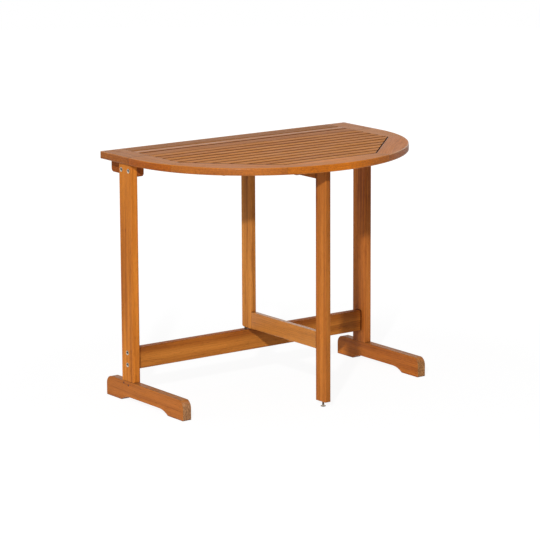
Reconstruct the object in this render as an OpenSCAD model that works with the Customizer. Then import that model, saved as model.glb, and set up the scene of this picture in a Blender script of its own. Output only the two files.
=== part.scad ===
// Folding balcony table with a half round slatted top and a swinging gate leg.
// The straight edge of the top is at the back (+Y), the curved edge at the front (-Y).
// The origin is on the ground, under the middle of the top. Millimetres, Z up.

/* [Top outline] */
// Width of the top along its straight edge
top_w = 900; // [750:5:1100]
// Depth of the top from the straight edge to the front of the curve
top_d = 600; // [500:5:750]
// Height of the top surface above the ground
table_h = 730; // [600:5:900]
// Thickness of the boards of the top
board_t = 22; // [16:0.5:30]
// Length of each side before the curve begins
side_straight = 180; // [150:5:200]
// Rounding of the upper and lower arrises of the top
edge_r = 3.5; // [1:0.5:5]
// Rounding of the two back corners, seen from above
corner_r = 5; // [2:1:20]

/* [Boards of the top] */
// Width of the boards along the two sides
side_board_w = 70; // [55:1:95]
// Width of the rail along the straight edge
back_rail_w = 56; // [40:1:70]
// Depth of the rear strip that stays fixed on the legs
fixed_d = 150; // [130:1:175]
// Gap between the fixed strip and the drop leaf
split_gap = 2; // [1:0.5:4]
// Distance from the straight edge to where the diagonal boards begin
diagonal_start = 310; // [280:5:340]
// Width of the board at the front of the curve, at its middle
front_board_w = 77; // [60:1:95]

/* [Slats] */
// Gap between two slats
slat_gap = 6; // [3:0.5:9]
// Gap between the two slats of the fixed strip
fixed_slat_gap = 7; // [4:0.5:10]
// Width of the rear slat of the fixed strip
fixed_slat_w = 37; // [30:1:45]
// Gap between the slat ends and the diagonal boards
diagonal_gap = 4; // [2:0.5:8]
// Gap between the slat ends and the side boards
slat_end_gap = 0.4; // [0.2:0.1:2]
// Rounding of the upper arrises of the slats
slat_edge_r = 2; // [0.5:0.5:4]
// Length of the tongues of rail and slats in the side boards
slat_tongue_l = 12; // [8:1:20]
// Thickness of the tongues
slat_tongue_t = 8; // [5:0.5:10]

/* [Cleats under the top] */
// Width of a cleat
cleat_w = 36; // [25:1:50]
// Thickness of a cleat
cleat_t = 10; // [8:0.5:14]
// Distance of the outer cleats from the middle of the table
cleat_x = 285; // [220:5:310]
// Distance of the inner cleats of the leaf from the middle of the table
inner_cleat_x = 115; // [90:5:120]
// Length that the cleats reach under the frame boards
cleat_lap = 20; // [20:1:50]
// Bevel under the front end of a cleat
cleat_bevel = 8; // [3:0.5:8]

/* [Posts and bearers] */
// Distance from the side of the top to the outer face of a post
post_inset = 9; // [5:1:30]
// Thickness of a post, across the table
post_t = 24; // [18:1:35]
// Width of a post, from back to front
post_w = 62; // [45:1:80]
// Distance from the front of a post to the front of the fixed strip
post_setback = 1; // [0.5:0.5:10]
// Rounding of the long arrises of posts, feet and stretcher
arris_r = 3; // [1:0.5:5]
// Thickness of the bearers under the fixed strip
bearer_t = 23.5; // [20:0.5:30]
// Height of the bearers
bearer_h = 40; // [30:1:55]
// Distance from the straight edge to the back end of a bearer
bearer_back = 11; // [5:1:25]
// Length of the bearers
bearer_l = 135; // [100:1:138]
// Rounding of the lower corners of a bearer
bearer_r = 12; // [5:1:18]

/* [Feet] */
// Length of a foot
foot_l = 400; // [330:5:500]
// Thickness of a foot
foot_t = 28; // [24:1:40]
// Height of a foot
foot_h = 59; // [45:1:75]
// Distance from the straight edge to the back end of a foot
foot_back = 10; // [0:1:30]
// Rounding of the upper corners of a foot
foot_r = 24; // [8:1:25]
// Rise of the arch under a foot
arch_h = 14; // [8:1:20]
// Length of the sole at each end of a foot
sole_l = 78; // [50:1:100]
// Length of the curve at each end of the arch
arch_slope = 45; // [20:1:70]
// Depth of the tenon that joins a post to its foot
tenon_h = 28; // [20:1:35]
// Diameter of the pegs through the tenons
peg_d = 6; // [4:0.5:8]
// Distance between the two pegs of a foot
peg_gap = 24; // [18:1:30]
// Height of the rear peg above the front peg
peg_step = 4; // [0:0.5:6]

/* [Stretcher] */
// Height of the lower edge of the stretcher above the ground
stretcher_z = 95; // [75:1:150]
// Height of the stretcher board
stretcher_h = 64; // [50:1:80]
// Thickness of the stretcher board
stretcher_t = 26; // [18:1:35]
// Distance from the front of the posts to the front of the stretcher
stretcher_setback = 18; // [16:0.5:26]

/* [Gate leg] */
// Sideways place of the open gate, left of the middle of the table
gate_offset = 19.5; // [15:0.5:35]
// Thickness of the gate
gate_t = 17; // [14:0.5:19]
// Width of the two gate posts
gate_post_w = 50; // [40:1:60]
// Length of the gate from the back of its inner post to the front of its outer post
gate_l = 419; // [330:1:425]
// Height of the lower rail of the gate
gate_rail_h = 51; // [35:1:70]
// Height of the upper rail of the gate
gate_top_rail_h = 27; // [20:1:60]
// Gap between the top of the stretcher and the gate
gate_lift = 10; // [6:1:16]
// Height of the end of the outer gate post above the ground
gate_foot_gap = 15.5; // [13:0.5:25]
// Rounding of the lower back corner of the gate
gate_heel_r = 9; // [3:1:14]
// Rounding of the lower front corner of the gate
gate_toe_r = 4; // [2:0.5:10]
// Clearance between the top of the gate and the cleats
gate_clear = 0.5; // [0.3:0.1:1.5]
// Distance from the back of the inner gate post to the pivot pins
pivot_edge = 7.5; // [6:0.5:12]
// Distance from the front of the stretcher to the pivot pins
pivot_inset = 6; // [5:0.5:10]
// Diameter of the pivot pins
pivot_d = 6; // [5:0.5:8]
// Radial clearance of the pivot pins in their sockets
pivot_clear = 0.05; // [0.03:0.01:0.1]
// Diameter of the spacer under the gate
spacer_d = 8; // [7.5:0.5:12]
// Length of the stop block that the open gate rests against
stop_l = 50; // [30:1:80]
// Depth of the stop block
stop_h = 18; // [10:1:30]
// Distance from the front of the gate to the stop block
stop_inset = 110; // [0:5:200]

/* [Glide] */
// Diameter of the adjusting screw in the outer gate post
glide_screw_d = 6; // [5:0.5:8]
// Length of the adjusting screw
glide_screw_l = 42; // [30:1:60]
// Diameter of the glide pad on the ground
glide_pad_d = 16; // [12:0.5:24]
// Height of the glide pad at its middle
glide_pad_t = 5; // [4:0.5:6]
// Outer diameter of the threaded insert
insert_d = 10; // [9:0.5:11]
// Length of the threaded insert
insert_l = 16; // [10:1:25]

/* [Hinges and fasteners] */
// Distance of the leaf hinges from the middle of the table
hinge_x = 165; // [120:5:200]
// Length of a hinge along its pin
hinge_l = 50; // [36:2:76]
// Width of one hinge plate
hinge_plate_w = 24; // [18:1:30]
// Thickness of a hinge plate
hinge_plate_t = 1.6; // [1.2:0.1:2.5]
// Diameter of a hinge knuckle
knuckle_d = 5; // [4:0.5:7]
// Diameter of a hinge pin
hinge_pin_d = 2.4; // [2:0.1:3]
// Diameter of the bolt heads on the posts
bolt_head_d = 13; // [10:0.5:14]
// Diameter of the bolt shanks
bolt_d = 6; // [5:0.5:8]
// Distance between the two bolts of a bearer
bearer_bolt_gap = 37; // [25:1:45]
// Distance between the two bolts at an end of the stretcher
stretcher_bolt_gap = 36; // [25:1:45]
// Diameter of the barrel nuts in the stretcher
barrel_d = 10; // [9:0.5:14]
// Diameter of the wood screw shanks
screw_d = 4; // [3:0.5:5]
// Diameter of the wood screw heads
screw_head_d = 7.6; // [6:0.2:9]

/* [Hidden] */
$fn = 64;
hole_clear = 0.05;
back_y = top_d / 2;
under_z = table_h - board_t;
cleat_z = under_z - cleat_t;
half_w = top_w / 2;

// The curve of the top: a side arc and a front arc on each side that meet smoothly
// where both run at 45 degrees.
leaf_slats = 10;
curve_d = top_d - side_straight;
arc_y = back_y - side_straight;
curve_m = (1 - sin(45)) / cos(45);
side_r = (curve_d - half_w * curve_m) / (1 - curve_m);
side_cx = half_w - side_r;
front_r = side_r + side_cx / cos(45);
front_cy = yy(top_d) + front_r;

// The field of slats inside the frame boards.
field_x = half_w - side_board_w;
front_inner = top_d - front_board_w;
front_vertex_x = field_x - (front_inner - diagonal_start);
rail_front = back_rail_w;
fixed_slat_1a = rail_front + slat_gap;
fixed_slat_1b = fixed_slat_1a + fixed_slat_w;
fixed_slat_2a = fixed_slat_1b + fixed_slat_gap;
leaf_start = fixed_d + split_gap;
leaf_pitch = (front_inner - leaf_start) / leaf_slats;
function slat_a(i) = leaf_start + i * leaf_pitch;
function slat_b(i) = leaf_start + (i + 1) * leaf_pitch - slat_gap;

// Posts, stretcher, gate pivot.
post_out = half_w - post_inset;
post_in = post_out - post_t;
post_front = fixed_d - post_setback;
post_back = post_front - post_w;
post_mid = (post_front + post_back) / 2;
stretcher_front = post_front - stretcher_setback;
stretcher_mid = stretcher_front - stretcher_t / 2;
stretcher_top = stretcher_z + stretcher_h;
gate_x = -gate_offset;
pivot_y = back_y - stretcher_front + pivot_inset;
gate_back = stretcher_front - pivot_inset - pivot_edge;
gate_front = gate_back + gate_l;
gate_z = stretcher_top + gate_lift;
gate_top = cleat_z - gate_clear;
glide_y = back_y - (gate_front - gate_post_w / 2);
centre_cleat_w = 50;
centre_cleat_x = gate_x - gate_t / 2;
bearer_front = bearer_back + bearer_l;
bearer_mid_z = under_z - bearer_h / 2;
stretcher_mid_z = stretcher_z + stretcher_h / 2;
barrel_in = 34;
hinge_y = back_y - fixed_d - split_gap / 2;

wood_top = [0.72, 0.50, 0.33];
wood_edge = [0.76, 0.43, 0.20];
wood_leg = [0.70, 0.41, 0.18];
wood_gate = [0.62, 0.37, 0.18];
wood_dark = [0.42, 0.24, 0.12];
steel = [0.72, 0.72, 0.70];
brass = [0.62, 0.56, 0.44];

// Distance d from the straight edge becomes a Y coordinate.
function yy(d) = back_y - d;

// Flat rectangle with round corners, centred.
module round_rect(w, h, r) {
    square([w - 2 * r, h], center = true);
    square([w, h - 2 * r], center = true);
    for (sx = [-1, 1], sy = [-1, 1])
        translate([sx * (w / 2 - r), sy * (h / 2 - r)])
            circle(r = r, $fn = 32);
}

// Bar along Z with round arrises.
module bar_z(x0, x1, y0, y1, z0, z1, r) {
    translate([(x0 + x1) / 2, (y0 + y1) / 2, z0])
        linear_extrude(height = z1 - z0)
            round_rect(abs(x1 - x0), abs(y1 - y0), r);
}

// Bar along X with round arrises.
module bar_x(x0, x1, y0, y1, z0, z1, r) {
    translate([x0, (y0 + y1) / 2, (z0 + z1) / 2])
        rotate([90, 0, 90])
            linear_extrude(height = x1 - x0)
                round_rect(abs(y1 - y0), abs(z1 - z0), r);
}

// Bar along Y with round arrises, from y0 to the larger y1.
module bar_y(x0, x1, y0, y1, z0, z1, r) {
    translate([(x0 + x1) / 2, y1, (z0 + z1) / 2])
        rotate([90, 0, 0])
            linear_extrude(height = y1 - y0)
                round_rect(abs(x1 - x0), abs(z1 - z0), r);
}

module cyl_x(x0, x1, y, z, d) {
    translate([x0, y, z])
        rotate([0, 90, 0])
            cylinder(d = d, h = x1 - x0);
}

module cyl_y(y0, y1, x, z, d) {
    translate([x, y1, z])
        rotate([90, 0, 0])
            cylinder(d = d, h = y1 - y0);
}

// Disc with a rounded rim, as thick as the boards of the top.
module rim_disc(r) {
    rotate_extrude($fn = 128) {
        square([r - edge_r, board_t]);
        translate([r - edge_r - 1, edge_r])
            square([edge_r + 1, board_t - 2 * edge_r]);
        translate([r - edge_r, edge_r])
            circle(r = edge_r, $fn = 32);
        translate([r - edge_r, board_t - edge_r])
            circle(r = edge_r, $fn = 32);
    }
}

// Prism through the thickness of the top, over a list of points.
module top_prism(points) {
    translate([0, 0, under_z - 1])
        linear_extrude(height = board_t + 2)
            polygon(points);
}

// Part of the right side arc that lies within the points.
module side_arc(points) {
    intersection() {
        translate([side_cx, arc_y, under_z])
            rim_disc(side_r);
        top_prism(points);
    }
}

// Part of the front arc that lies within the points.
module front_arc(points) {
    intersection() {
        translate([0, front_cy, under_z])
            rim_disc(front_r);
        top_prism(points);
    }
}

// Straight part of the top, with its rounded sides, back arrises and back corners.
module straight_part(x0, x1, d0, d1) {
    intersection() {
        bar_y(-half_w, half_w, yy(top_d), yy(0), under_z, table_h, edge_r);
        bar_x(-half_w, half_w, yy(top_d), yy(0), under_z, table_h, edge_r);
        translate([0, yy(top_d / 2), under_z])
            linear_extrude(height = board_t)
                round_rect(top_w, top_d, corner_r);
        translate([x0, yy(d1), under_z - 1])
            cube([x1 - x0, d1 - d0, board_t + 2]);
    }
}

module slat_bar(x0, x1, d0, d1) {
    bar_x(x0, x1, yy(d1), yy(d0), under_z, table_h, slat_edge_r);
}

// Tongues at both ends of a rail or slat, in the side boards.
tongue_side = 7;
module end_tongues(d0, d1) {
    translate([-field_x - slat_tongue_l, yy(d1 - tongue_side),
        under_z + (board_t - slat_tongue_t) / 2])
        cube([2 * (field_x + slat_tongue_l), d1 - d0 - 2 * tongue_side, slat_tongue_t]);
}
module tongue_slot(d0, d1) {
    translate([field_x - 1, yy(d1 - tongue_side), under_z + (board_t - slat_tongue_t) / 2])
        cube([1 + slat_tongue_l, d1 - d0 - 2 * tongue_side, slat_tongue_t]);
}

// Field of the slats, clear of the side boards and the diagonal boards.
module field_prism() {
    s = diagonal_gap * sqrt(2);
    fx = field_x - slat_end_gap;
    k = diagonal_start - s + slat_end_gap;
    e = fx - (front_inner - k);
    top_prism([
        [-fx, yy(-1)], [-fx, yy(k)], [-e, yy(front_inner)],
        [e, yy(front_inner)], [fx, yy(k)], [fx, yy(-1)]
    ]);
}

// Places of the wood screws: each is [x, distance from the straight edge].
fixed_rows = [
    rail_front / 2,
    (fixed_slat_1a + fixed_slat_1b) / 2,
    (fixed_slat_2a + fixed_d - split_gap / 2) / 2
];
function slat_mid(i) = (slat_a(i) + slat_b(i)) / 2;
// A slat is crossed by the outer cleats while its ends reach beyond them.
diagonal_at_cleat = diagonal_start + field_x - cleat_x;
side_rows = [for (i = [0 : leaf_slats - 1]) if (slat_b(i) < diagonal_at_cleat - 22) slat_mid(i)];
side_end = diagonal_at_cleat + cleat_lap;
side_board_row = side_end - cleat_bevel - 5;
centre_rows = [for (i = [0 : leaf_slats - 1]) slat_mid(i)];
centre_end = front_inner + cleat_lap;
centre_board_row = centre_end - cleat_bevel - 5;
outer_list = concat(side_rows, [side_board_row]);
centre_list = concat(centre_rows, [centre_board_row]);
// The screws of the centre cleat stand left of the gate.
centre_screw_x = gate_x - gate_t / 2 - 12;
screw_places = concat(
    [for (x = [-cleat_x, centre_screw_x, cleat_x], d = fixed_rows) [x, d]],
    [for (x = [-cleat_x, cleat_x], d = outer_list) [x, d]],
    [for (x = [-inner_cleat_x, centre_screw_x, inner_cleat_x], d = centre_list) [x, d]]
);
// No inner cleat or its screws lie further from the middle than this.
inner_reach = inner_cleat_x + cleat_w / 2;

screw_embed = 11;
screw_head_h = 2.4;
module wood_screw(x, y, z) {
    translate([x, y, z])
        cylinder(d1 = screw_head_d, d2 = screw_d, h = screw_head_h);
    translate([x, y, z])
        cylinder(d = screw_d, h = cleat_t + screw_embed);
}

module screw_hole(x, y, z) {
    translate([x, y, z - 1])
        cylinder(d = screw_head_d + 2 * hole_clear, h = 1 + hole_clear);
    translate([x, y, z + hole_clear])
        cylinder(d1 = screw_head_d + 2 * hole_clear, d2 = screw_d + 2 * hole_clear,
            h = screw_head_h);
    translate([x, y, z])
        cylinder(d = screw_d + 2 * hole_clear, h = cleat_t + screw_embed + 0.2);
}

module screw_holes_within(d0, d1, x0, x1) {
    for (p = screw_places)
        if (p[1] > d0 && p[1] < d1 && p[0] > x0 && p[0] < x1)
            screw_hole(p[0], yy(p[1]), cleat_z);
}

// Hinge screws: two in each plate.
hinge_screw_l = 12;
hinge_screw_d = 3;
hinge_screw_head = 5.4;
hinge_sx = hinge_l / 2 - 9;
hinge_sy = hinge_plate_w / 2 + 1;
module hinge_screw_at(x, y, grow) {
    z = under_z - hinge_plate_t;
    translate([x, y, z - (grow > 0 ? 1 : 0)])
        cylinder(d = hinge_screw_head + 2 * grow, h = (grow > 0 ? 1 + grow : 0.01));
    translate([x, y, z + grow])
        cylinder(d1 = hinge_screw_head + 2 * grow, d2 = hinge_screw_d + 2 * grow, h = 1.2);
    translate([x, y, z])
        cylinder(d = hinge_screw_d + 2 * grow, h = hinge_screw_l + 2 * grow);
}
module hinge_screw_holes(side) {
    for (sx = [-1, 1], kx = [-1, 1])
        hinge_screw_at(sx * hinge_x + kx * hinge_sx, hinge_y + side * hinge_sy, hole_clear);
}

module back_rail() {
    color(wood_top)
        difference() {
            union() {
                straight_part(-field_x, field_x, 0, rail_front);
                end_tongues(0, rail_front);
            }
            screw_holes_within(0, rail_front, -cleat_x - 20, cleat_x + 20);
        }
}

module fixed_slat_rear() {
    color(wood_top)
        difference() {
            union() {
                slat_bar(-field_x + slat_end_gap, field_x - slat_end_gap,
                    fixed_slat_1a, fixed_slat_1b);
                end_tongues(fixed_slat_1a, fixed_slat_1b);
            }
            screw_holes_within(fixed_slat_1a, fixed_slat_1b, -half_w, half_w);
        }
}

module fixed_slat_front() {
    color(wood_top)
        difference() {
            union() {
                slat_bar(-field_x + slat_end_gap, field_x - slat_end_gap,
                    fixed_slat_2a, fixed_d - split_gap / 2);
                end_tongues(fixed_slat_2a, fixed_d - split_gap / 2);
            }
            screw_holes_within(fixed_slat_2a, fixed_d, -half_w, half_w);
            hinge_screw_holes(1);
        }
}

module fixed_side_board() {
    difference() {
        straight_part(field_x, half_w, 0, fixed_d - split_gap / 2);
        tongue_slot(0, rail_front);
        tongue_slot(fixed_slat_1a, fixed_slat_1b);
        tongue_slot(fixed_slat_2a, fixed_d - split_gap / 2);
        for (d = bearer_screw_rows)
            translate([bearer_mid_x, yy(d), under_z - 1])
                cylinder(d = screw_d + 2 * hole_clear, h = 1 + bearer_screw_embed + 0.2);
    }
}
module fixed_side_board_left() {
    color(wood_edge)
        mirror([1, 0, 0])
            fixed_side_board();
}
module fixed_side_board_right() {
    color(wood_edge)
        fixed_side_board();
}

// Mitre directions at the two inner corners of the frame of boards, 22.5 degrees off square.
mitre_t = tan(22.5);
far = 200;
vertex_1 = [field_x, yy(diagonal_start)];
vertex_2 = [front_vertex_x, yy(front_inner)];
mitre_1 = vertex_1 + [far, -far * mitre_t];
mitre_2 = vertex_2 + [far * mitre_t, -far];
// The line on which the side arc passes into the front arc.
seam_n = norm([side_cx, arc_y - front_cy]);
seam_u = [side_cx, arc_y - front_cy] / seam_n;
seam_out = [0, front_cy] + seam_u * (front_r + 60);

module leaf_side_board() {
    difference() {
        union() {
            straight_part(field_x, half_w, leaf_start - split_gap / 2, side_straight);
            side_arc([
                [field_x, arc_y], vertex_1, mitre_1, [half_w + far, arc_y]
            ]);
        }
        for (i = [0 : leaf_slats - 1])
            if (slat_b(i) < diagonal_start - 6)
                tongue_slot(slat_a(i), slat_b(i));
    }
}
module leaf_side_board_left() {
    color(wood_edge)
        mirror([1, 0, 0])
            leaf_side_board();
}
module leaf_side_board_right() {
    color(wood_edge)
        leaf_side_board();
}

module leaf_diagonal_board() {
    c = seam_cross();
    union() {
        side_arc([vertex_1, mitre_1, seam_out + [30, 0], seam_out, c]);
        front_arc([vertex_2, c, seam_out, seam_out + [0, -60], mitre_2]);
    }
}
// Where the line between the two arcs crosses the inner edge of the diagonal board.
function seam_cross() =
    let (a = vertex_1, b = vertex_2, u = seam_u,
        o = [0, front_cy],
        det = (b[0] - a[0]) * (-u[1]) - (b[1] - a[1]) * (-u[0]),
        t = ((o[0] - a[0]) * (-u[1]) - (o[1] - a[1]) * (-u[0])) / det)
    a + (b - a) * t;

module leaf_diagonal_board_left() {
    color(wood_edge)
        difference() {
            mirror([1, 0, 0])
                leaf_diagonal_board();
            screw_holes_within(side_board_row - 1, side_board_row + 1, -half_w, -inner_reach - 20);
        }
}
module leaf_diagonal_board_right() {
    color(wood_edge)
        difference() {
            leaf_diagonal_board();
            screw_holes_within(side_board_row - 1, side_board_row + 1, inner_reach + 20, half_w);
        }
}

module leaf_front_board() {
    color(wood_edge)
        difference() {
            front_arc([
                vertex_2, mitre_2, [-mitre_2[0], mitre_2[1]], [-vertex_2[0], vertex_2[1]]
            ]);
            screw_holes_within(front_inner, top_d, -half_w, half_w);
        }
}

module leaf_slat(i) {
    color(wood_top)
        difference() {
            union() {
                intersection() {
                    slat_bar(-field_x, field_x, slat_a(i) - (i == 0 ? split_gap / 2 : 0),
                        slat_b(i));
                    field_prism();
                }
                if (slat_b(i) < diagonal_start - 6)
                    end_tongues(slat_a(i), slat_b(i));
            }
            if (slat_b(i) < diagonal_at_cleat - 22)
                screw_holes_within(slat_a(i), slat_b(i), -half_w, half_w);
            else
                screw_holes_within(slat_a(i), slat_b(i), -inner_reach, inner_reach);
            if (i == 0)
                hinge_screw_holes(-1);
        }
}
module leaf_slat_01() { leaf_slat(0); }
module leaf_slat_02() { leaf_slat(1); }
module leaf_slat_03() { leaf_slat(2); }
module leaf_slat_04() { leaf_slat(3); }
module leaf_slat_05() { leaf_slat(4); }
module leaf_slat_06() { leaf_slat(5); }
module leaf_slat_07() { leaf_slat(6); }
module leaf_slat_08() { leaf_slat(7); }
module leaf_slat_09() { leaf_slat(8); }
module leaf_slat_10() { leaf_slat(9); }

module cleat(x, w, d0, d1, lx0, lx1) {
    color(wood_gate)
        difference() {
            bar_y(x - w / 2, x + w / 2, yy(d1), yy(d0), cleat_z, under_z, 1.5);
            translate([x - w / 2 - 1, 0, 0])
                rotate([90, 0, 90])
                    linear_extrude(height = w + 2)
                        polygon([
                            [yy(d1) - 1, cleat_z - 1], [yy(d1) + cleat_bevel + 1, cleat_z - 1],
                            [yy(d1) - 1, cleat_z + cleat_bevel + 1]
                        ]);
            screw_holes_within(d0, d1, lx0, lx1);
        }
}
module fixed_cleat_left() {
    cleat(-cleat_x, cleat_w, 8, fixed_d - 4, -half_w, -inner_reach - 20);
}
module fixed_cleat_centre() {
    difference() {
        cleat(centre_cleat_x, centre_cleat_w, 8, fixed_d - 4, -60, 60);
        translate([gate_x, pivot_y, cleat_z - 1])
            cylinder(r = pivot_d / 2 + pivot_clear, h = cleat_t + 2);
    }
}
module fixed_cleat_right() {
    cleat(cleat_x, cleat_w, 8, fixed_d - 4, inner_reach + 20, half_w);
}
module leaf_cleat_left() {
    cleat(-cleat_x, cleat_w, leaf_start + 4, side_end, -half_w, -inner_reach - 20);
}
module leaf_cleat_inner_left() {
    cleat(-inner_cleat_x, cleat_w, leaf_start + 4, centre_end, -inner_reach, -60);
}
module leaf_cleat_centre() {
    cleat(centre_cleat_x, centre_cleat_w, leaf_start + 4, centre_end, -60, 60);
}
module leaf_cleat_inner_right() {
    cleat(inner_cleat_x, cleat_w, leaf_start + 4, centre_end, 60, inner_reach);
}
module leaf_cleat_right() {
    cleat(cleat_x, cleat_w, leaf_start + 4, side_end, inner_reach + 20, half_w);
}

// Bearer on the inner face of the right post, with round lower corners.
module bearer() {
    difference() {
        intersection() {
            bar_y(post_in - bearer_t, post_in, yy(bearer_front), yy(bearer_back),
                under_z - bearer_h, under_z, 1.5);
            translate([0, yy((bearer_back + bearer_front) / 2), under_z - bearer_h])
                rotate([90, 0, 90])
                    linear_extrude(height = half_w)
                        translate([0, bearer_h])
                            round_rect(bearer_front - bearer_back, 2 * bearer_h, bearer_r);
        }
        for (k = [-1, 1])
            cyl_x(post_in - bearer_t + 5, post_in + 1, yy(post_mid) + k * bearer_bolt_gap / 2,
                bearer_mid_z, bolt_d + 2 * hole_clear);
        for (d = bearer_screw_rows)
            translate([bearer_mid_x, yy(d), under_z - bearer_h - 1]) {
                cylinder(d = screw_head_d + 2 * hole_clear,
                    h = 1 + bearer_screw_sunk + screw_head_h + hole_clear);
                cylinder(d = screw_d + 2 * hole_clear, h = bearer_h + 2);
            }
    }
}
// Screws through a bearer into the side board above it, with their heads sunk deep.
bearer_mid_x = post_in - bearer_t / 2;
bearer_screw_rows = [bearer_back + 22, post_mid];
bearer_screw_sunk = 8;
bearer_screw_embed = 13;
module bearer_screws() {
    color(steel)
        for (s = [-1, 1], d = bearer_screw_rows)
            translate([s * bearer_mid_x, yy(d), under_z - bearer_h + bearer_screw_sunk]) {
                cylinder(d = screw_head_d, h = screw_head_h);
                cylinder(d = screw_d, h = bearer_h - bearer_screw_sunk + bearer_screw_embed);
            }
}
module bearer_left() {
    color(wood_gate)
        mirror([1, 0, 0])
            bearer();
}
module bearer_right() {
    color(wood_gate)
        bearer();
}

// Post with a tenon at its lower end.
module post() {
    difference() {
        union() {
            bar_z(post_in, post_out, yy(post_front), yy(post_back), foot_h, under_z, arris_r);
            translate([post_in + post_t / 4, yy(post_front - 10), foot_h - tenon_h])
                cube([post_t / 2, post_w - 20, tenon_h + 1]);
        }
        for (k = [-1, 1]) {
            y = yy(post_mid) + k * bearer_bolt_gap / 2;
            cyl_x(post_in - 1, post_out + 1, y, bearer_mid_z, bolt_d + 2 * hole_clear);
            cyl_x(post_out - 4, post_out + 1, y, bearer_mid_z, bolt_head_d + 2 * hole_clear);
            z = stretcher_mid_z + k * stretcher_bolt_gap / 2;
            cyl_x(post_in - 1, post_out + 1, yy(stretcher_mid), z, bolt_d + 2 * hole_clear);
            cyl_x(post_out - 4, post_out + 1, yy(stretcher_mid), z,
                bolt_head_d + 2 * hole_clear);
            cyl_x(post_in - 1, post_out + 1, peg_y(k), peg_z(k),
                peg_d + 2 * hole_clear);
        }
    }
}
peg_shift = 4;
function peg_y(k) = yy(post_mid - peg_shift) + k * peg_gap / 2;
function peg_z(k) = foot_h - 10 + (k > 0 ? peg_step : 0);
module post_left() {
    color(wood_leg)
        mirror([1, 0, 0])
            post();
}
module post_right() {
    color(wood_leg)
        post();
}

// Side view of a foot: distance from the straight edge to the right, height up.
// Radius of the curve at an end of the arch, level where it meets the flat middle.
arch_r = (arch_slope * arch_slope + arch_h * arch_h) / (2 * arch_h);
module foot_profile() {
    a = foot_back;
    b = foot_back + foot_l;
    difference() {
        union() {
            translate([a, 0])
                square([foot_l, foot_h - foot_r]);
            translate([a + foot_r, 0])
                square([foot_l - 2 * foot_r, foot_h]);
            translate([a + foot_r, foot_h - foot_r])
                circle(r = foot_r);
            translate([b - foot_r, foot_h - foot_r])
                circle(r = foot_r);
        }
        // The arch is flat in the middle and runs down to the soles in a curve at each end.
        translate([a + sole_l + arch_slope, -1])
            square([foot_l - 2 * (sole_l + arch_slope), arch_h + 1]);
        intersection() {
            translate([a + sole_l + arch_slope, arch_h - arch_r])
                circle(r = arch_r, $fn = 256);
            translate([a + sole_l - 3, -1])
                square([arch_slope + 4, arch_h + 1]);
        }
        intersection() {
            translate([b - sole_l - arch_slope, arch_h - arch_r])
                circle(r = arch_r, $fn = 256);
            translate([b - sole_l - arch_slope - 1, -1])
                square([arch_slope + 4, arch_h + 1]);
        }
        // The lower corners at the ends of the foot are cut a little.
        polygon([[a - 1, -1], [a + 1.5, -1], [a + 1.5, 0], [a, 1.5], [a - 1, 1.5]]);
        polygon([[b + 1, -1], [b - 1.5, -1], [b - 1.5, 0], [b, 1.5], [b + 1, 1.5]]);
    }
}

module foot() {
    difference() {
        intersection() {
            translate([post_in, back_y, 0])
                rotate([90, 0, 90])
                    linear_extrude(height = foot_t)
                        mirror([1, 0])
                            foot_profile();
            bar_y(post_in, post_in + foot_t, yy(foot_back + foot_l), yy(foot_back),
                -20, foot_h, arris_r);
        }
        translate([post_in + post_t / 4, yy(post_front - 10), foot_h - tenon_h])
            cube([post_t / 2, post_w - 20, tenon_h + 1]);
        for (k = [-1, 1])
            cyl_x(post_in + 2, post_in + foot_t + 1, peg_y(k), peg_z(k),
                peg_d + 2 * hole_clear);
    }
}
module foot_left() {
    color(wood_leg)
        mirror([1, 0, 0])
            foot();
}
module foot_right() {
    color(wood_leg)
        foot();
}

module tenon_pegs() {
    color(wood_dark)
        for (s = [-1, 1], k = [-1, 1])
            cyl_x(s > 0 ? post_in + 2 : -post_in - foot_t,
                s > 0 ? post_in + foot_t : -post_in - 2,
                peg_y(k), peg_z(k), peg_d);
}

module stretcher() {
    color(wood_leg)
        difference() {
            bar_x(-post_in, post_in, yy(stretcher_front), yy(stretcher_front - stretcher_t),
                stretcher_z, stretcher_top, arris_r);
            for (s = [-1, 1], k = [-1, 1]) {
                z = stretcher_mid_z + k * stretcher_bolt_gap / 2;
                cyl_x(s > 0 ? post_in - barrel_in - 12 : -post_in - 1,
                    s > 0 ? post_in + 1 : -post_in + barrel_in + 12,
                    yy(stretcher_mid), z, bolt_d + 2 * hole_clear);
                cyl_y(yy(stretcher_mid) - barrel_d * 0.7, yy(stretcher_front - stretcher_t) + 1,
                    s * (post_in - barrel_in), z, barrel_d + 2 * hole_clear);
            }
            translate([gate_x, pivot_y, stretcher_top - pin_depth - 0.5])
                cylinder(r = pivot_d / 2 + pivot_clear, h = pin_depth + 2);
        }
}
pin_depth = 22;

// The open gate stands square to the stretcher.
gate_x0 = gate_x - gate_t / 2;
gate_x1 = gate_x + gate_t / 2;
tongue_l = 14;
tongue_t = gate_t / 3;
gate_edge_r = 2;

module gate_inner_post() {
    color(wood_gate)
        difference() {
            bar_z(gate_x0, gate_x1, yy(gate_back + gate_post_w), yy(gate_back),
                gate_z, gate_top, gate_edge_r);
            gate_mortises(gate_back + gate_post_w - tongue_l, gate_back + gate_post_w + 1);
            difference() {
                translate([gate_x0 - 1, yy(gate_back) - gate_heel_r, gate_z - 1])
                    cube([gate_t + 2, gate_heel_r + 1, gate_heel_r + 1]);
                cyl_x(gate_x0 - 2, gate_x1 + 2, yy(gate_back) - gate_heel_r,
                    gate_z + gate_heel_r, 2 * gate_heel_r);
            }
            translate([gate_x, pivot_y, gate_z - 1])
                cylinder(d = pivot_d, h = pin_embed + 1);
            translate([gate_x, pivot_y, gate_top - pin_embed])
                cylinder(d = pivot_d, h = pin_embed + 1);
        }
}
pin_embed = 24;

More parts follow.
